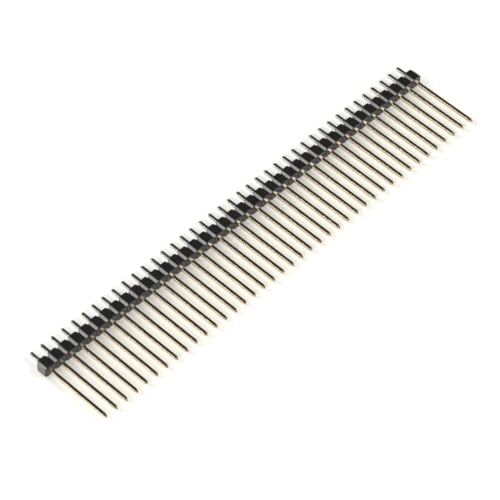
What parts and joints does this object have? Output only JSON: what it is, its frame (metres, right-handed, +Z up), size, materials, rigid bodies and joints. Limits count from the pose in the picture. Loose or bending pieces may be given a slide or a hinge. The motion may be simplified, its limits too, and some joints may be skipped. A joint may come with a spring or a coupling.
{
  "type": "pin header strip",
  "caption": "Single-row breakaway pin header: long square posts and short tails held in a notched black insulator that snaps to length between cells.",
  "frame": {"origin": "on the surface that the strip lies on, under the middle of its bounding box", "axes": "+X along the row from the first pin to the last, +Y along the pins towards the tails that go through the board, +Z up out of the surface that the strip lies on"},
  "size_m": [0.1016, 0.0198, 0.0025],
  "materials": {
    "insulator": "satin moulded glass-filled thermoplastic, black",
    "pin": "drawn square brass wire, thin gold over nickel on the post and tin on the tail"
  },
  "bodies": {
    "root": {"insulator": "insulator", "pin_01": "pin", "pin_02": "pin", "pin_03": "pin", "pin_04": "pin", "pin_05": "pin", "pin_06": "pin", "pin_07": "pin", "pin_08": "pin", "pin_09": "pin", "pin_10": "pin", "pin_11": "pin", "pin_12": "pin", "pin_13": "pin", "pin_14": "pin", "pin_15": "pin", "pin_16": "pin", "pin_17": "pin", "pin_18": "pin", "pin_19": "pin", "pin_20": "pin", "pin_21": "pin", "pin_22": "pin", "pin_23": "pin", "pin_24": "pin", "pin_25": "pin", "pin_26": "pin", "pin_27": "pin", "pin_28": "pin", "pin_29": "pin", "pin_30": "pin", "pin_31": "pin", "pin_32": "pin", "pin_33": "pin", "pin_34": "pin", "pin_35": "pin", "pin_36": "pin", "pin_37": "pin", "pin_38": "pin", "pin_39": "pin", "pin_40": "pin"}
  },
  "joints": []
}
